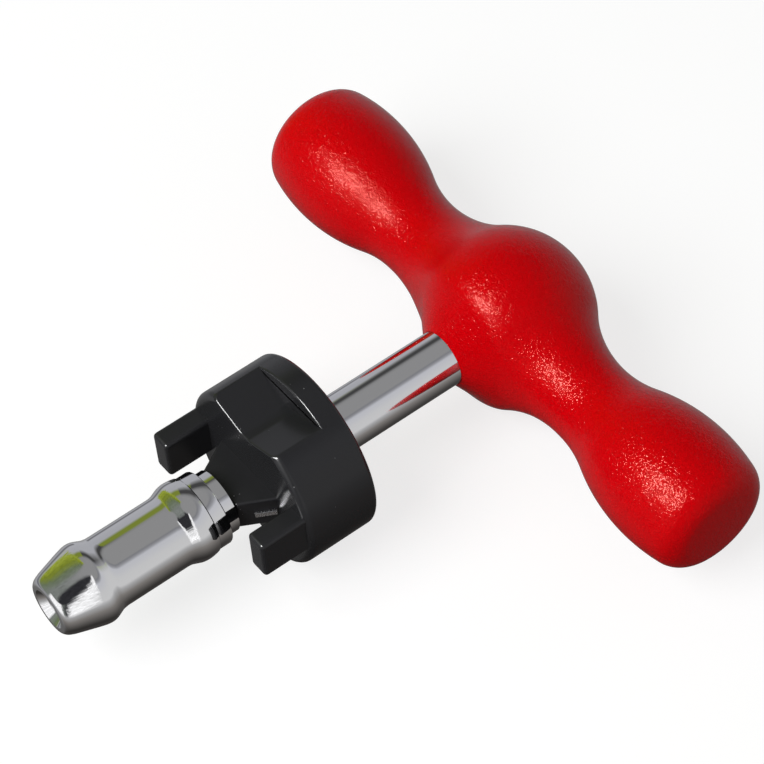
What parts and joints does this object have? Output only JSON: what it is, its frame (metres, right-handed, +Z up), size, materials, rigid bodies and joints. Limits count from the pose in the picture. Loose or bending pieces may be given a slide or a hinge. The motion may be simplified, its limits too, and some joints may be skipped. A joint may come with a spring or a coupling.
{
  "type": "pipe calibrating tool",
  "caption": "Hand tool for sizing and bevelling plastic pipe ends: red T-grip, steel shaft, black bevelling head with fingers and a chromed ridged mandrel.",
  "frame": {"origin": "on the surface the tool lies on, under the middle of its bounding box", "axes": "+X along the grip to its right end, +Y along the shaft from the mandrel to the grip, +Z up"},
  "size_m": [0.1088, 0.1076, 0.0321],
  "materials": {
    "red_plastic": "glossy red, finely wavy",
    "pin_steel": "plain spring steel",
    "shaft_chrome": "polished plating",
    "black_plastic": "satin moulded black",
    "blade_steel": "ground cutting edge",
    "mandrel_chrome": "turned and plated"
  },
  "bodies": {
    "root": {"grip": "red_plastic", "grip_pin": "pin_steel", "shaft": "shaft_chrome", "head_body": "black_plastic", "blade_right": "blade_steel", "blade_left": "blade_steel", "mandrel": "mandrel_chrome"}
  },
  "joints": []
}
